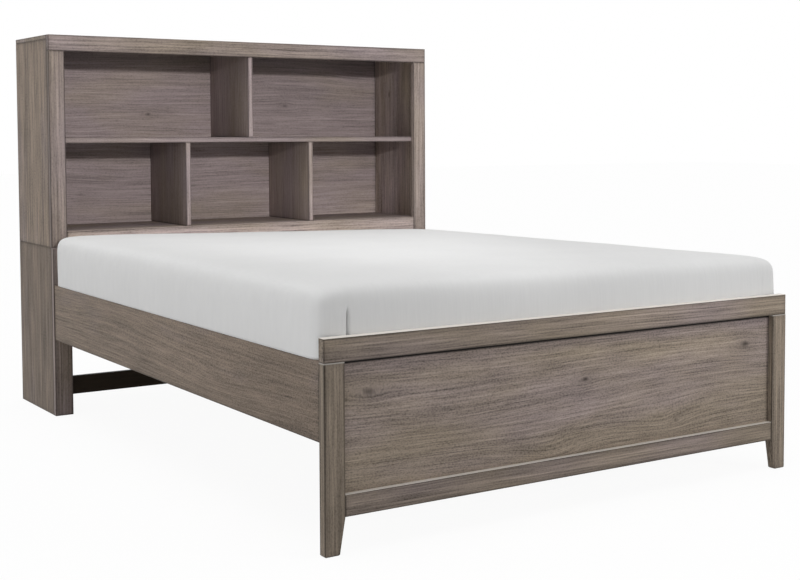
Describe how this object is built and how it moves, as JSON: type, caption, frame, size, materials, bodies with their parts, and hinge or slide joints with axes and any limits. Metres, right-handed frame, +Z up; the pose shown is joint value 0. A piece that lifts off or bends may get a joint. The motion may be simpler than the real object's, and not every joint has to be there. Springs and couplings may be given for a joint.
{
  "type": "platform bed",
  "caption": "Platform bed with a bookcase headboard, a panel footboard on tapered legs, slats on ledgers and a mattress that lifts off.",
  "frame": {"origin": "on the floor, under the middle of the bed's outer box", "axes": "+X across the bed to its right seen from the foot, +Y along the bed towards the headboard, +Z up"},
  "size_m": [1.6, 2.488, 1.389],
  "materials": {
    "weathered_board": "matte",
    "plain_pine": "matte",
    "black_paint": "satin",
    "zinc_steel": "satin",
    "insert_brass": "satin",
    "foot_nylon": "matte",
    "mattress_cover": "matte"
  },
  "bodies": {
    "bed_frame": {"base_back_rail": "weathered_board", "base_front_rail": "weathered_board", "base_post_left": "weathered_board", "base_post_right": "weathered_board", "base_side_left": "weathered_board", "base_side_right": "weathered_board", "base_stretcher": "black_paint", "base_top": "weathered_board", "bookcase_back": "weathered_board", "bookcase_bolts": "zinc_steel", "bookcase_floor": "weathered_board", "bookcase_shelf": "weathered_board", "bookcase_side_left": "weathered_board", "bookcase_side_right": "weathered_board", "bookcase_top": "weathered_board", "bracket_bolts": "zinc_steel", "center_beam": "plain_pine", "corner_brackets": "zinc_steel", "face_frame_bottom_rail": "weathered_board", "face_frame_stile_left": "weathered_board", "face_frame_stile_right": "weathered_board", "face_frame_top_rail": "weathered_board", "footboard_bottom_rail": "weathered_board", "footboard_leg_left": "weathered_board", "footboard_leg_right": "weathered_board", "footboard_panel": "weathered_board", "footboard_top_rail": "weathered_board", "headboard_panel": "weathered_board", "ledger_left": "plain_pine", "ledger_right": "plain_pine", "leg_inserts": "insert_brass", "lower_divider_1": "weathered_board", "lower_divider_2": "weathered_board", "side_rail_left": "weathered_board", "side_rail_right": "weathered_board", "slat_1": "plain_pine", "slat_10": "plain_pine", "slat_11": "plain_pine", "slat_12": "plain_pine", "slat_2": "plain_pine", "slat_3": "plain_pine", "slat_4": "plain_pine", "slat_5": "plain_pine", "slat_6": "plain_pine", "slat_7": "plain_pine", "slat_8": "plain_pine", "slat_9": "plain_pine", "slat_screws": "zinc_steel", "support_leg_1": "plain_pine", "support_leg_2": "plain_pine", "support_leg_3": "plain_pine", "upper_divider_1": "weathered_board"},
    "mattress": {"mattress": "mattress_cover"},
    "support_foot_1": {"foot_pad_1": "foot_nylon", "foot_stem_1": "zinc_steel"},
    "support_foot_2": {"foot_pad_2": "foot_nylon", "foot_stem_2": "zinc_steel"},
    "support_foot_3": {"foot_pad_3": "foot_nylon", "foot_stem_3": "zinc_steel"}
  },
  "joints": [
    {"name": "mattress_lift", "type": "slide", "parent": "bed_frame", "child": "mattress", "axis": [0, 0, 1], "range_m": [0, 0.35]},
    {"name": "support_foot_1_level", "type": "slide", "parent": "bed_frame", "child": "support_foot_1", "axis": [0, 0, 1], "range_m": [0, 0.012]},
    {"name": "support_foot_2_level", "type": "slide", "parent": "bed_frame", "child": "support_foot_2", "axis": [0, 0, 1], "range_m": [0, 0.012]},
    {"name": "support_foot_3_level", "type": "slide", "parent": "bed_frame", "child": "support_foot_3", "axis": [0, 0, 1], "range_m": [0, 0.012]}
  ]
}
